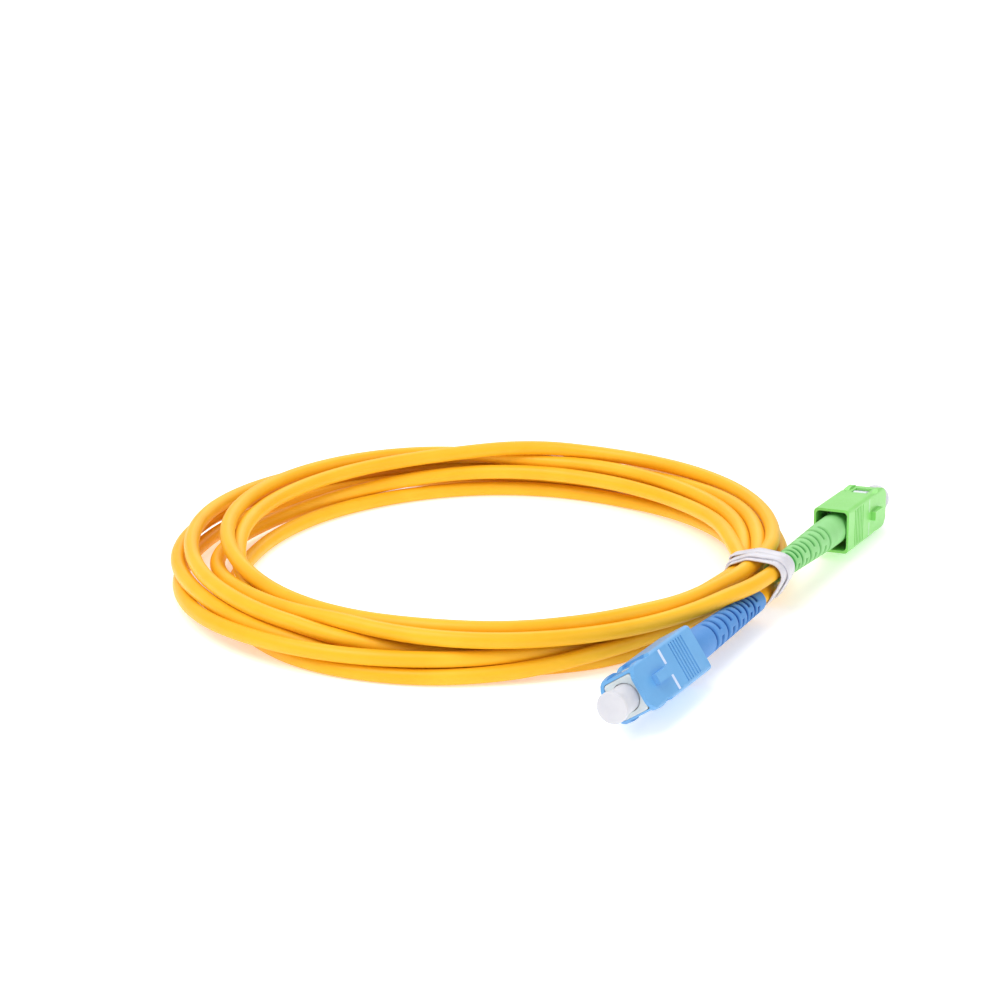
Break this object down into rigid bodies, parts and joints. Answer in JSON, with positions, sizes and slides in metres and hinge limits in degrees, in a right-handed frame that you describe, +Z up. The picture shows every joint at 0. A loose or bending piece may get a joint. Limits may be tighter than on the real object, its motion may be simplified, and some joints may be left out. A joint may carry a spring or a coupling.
{
  "type": "fiber optic patch cord",
  "caption": "Coiled simplex fibre optic patch cord with a flat-polished and an angle-polished push-pull plug, each with boot and dust cap, held by a tie.",
  "frame": {"origin": "on the floor, at the middle of the box round the two plugs and the tie; the cord and its coil are left out of it", "axes": "+Z up from the floor the cord lies on; +Y runs from the flat-polished plug towards the angle-polished one; the coil lies to -X"},
  "size_m": [0.1467, 0.1399, 0.0128],
  "materials": {
    "cord": "smooth satin PVC jacket, warm yellow",
    "tie": "translucent soft plastic band",
    "blue_housing": "moulded blue, satin",
    "green_housing": "moulded green, satin",
    "blue_boot": "matt elastomer, blue",
    "green_boot": "matt elastomer, green",
    "frame": "moulded white",
    "cap": "soft white plastic",
    "ferrule": "polished white ceramic",
    "nickel": "nickel plated",
    "steel": "spring steel wire",
    "crimp": "plain crimped ring",
    "aramid": "yellow aramid yarn",
    "buffer": "white tight buffer"
  },
  "bodies": {
    "cord": {"cord_coil": "cord", "blue_tail": "cord", "green_tail": "cord", "tie_band_near": "tie", "tie_band_far": "tie", "blue_plug_frame": "frame", "blue_spring": "steel", "blue_stop_ring": "nickel", "blue_crimp_ring": "crimp", "blue_aramid": "aramid", "blue_buffer": "buffer", "blue_boot": "blue_boot", "green_plug_frame": "frame", "green_spring": "steel", "green_stop_ring": "nickel", "green_crimp_ring": "crimp", "green_aramid": "aramid", "green_buffer": "buffer", "green_boot": "green_boot"},
    "blue_sleeve": {"blue_housing": "blue_housing"},
    "blue_ferrule": {"blue_ferrule": "ferrule", "blue_ferrule_flange": "nickel"},
    "blue_cap": {"blue_dust_cap": "cap"},
    "green_sleeve": {"green_housing": "green_housing"},
    "green_ferrule": {"green_ferrule": "ferrule", "green_ferrule_flange": "nickel"},
    "green_cap": {"green_dust_cap": "cap"}
  },
  "joints": [
    {"name": "blue_sleeve_slide", "type": "slide", "parent": "cord", "child": "blue_sleeve", "axis": [0.4599, 0.8873, -0.0349], "range_m": [0, 0.002]},
    {"name": "blue_ferrule_slide", "type": "slide", "parent": "cord", "child": "blue_ferrule", "axis": [0.4599, 0.8873, -0.0349], "range_m": [0, 0.0015], "stiffness_N_per_m": 3500, "springref_m": -0.0025, "deforming": ["blue_spring", "blue_buffer"]},
    {"name": "blue_cap_pull", "type": "slide", "parent": "blue_ferrule", "child": "blue_cap", "axis": [-0.4599, -0.8873, 0.0349], "range_m": [0, 0.03]},
    {"name": "green_sleeve_slide", "type": "slide", "parent": "cord", "child": "green_sleeve", "axis": [-0.4295, -0.9004, 0.0698], "range_m": [0, 0.002]},
    {"name": "green_ferrule_slide", "type": "slide", "parent": "cord", "child": "green_ferrule", "axis": [-0.4295, -0.9004, 0.0698], "range_m": [0, 0.0015], "stiffness_N_per_m": 3500, "springref_m": -0.0025, "deforming": ["green_spring", "green_buffer"]},
    {"name": "green_cap_pull", "type": "slide", "parent": "green_ferrule", "child": "green_cap", "axis": [0.4295, 0.9004, -0.0698], "range_m": [0, 0.03]}
  ]
}
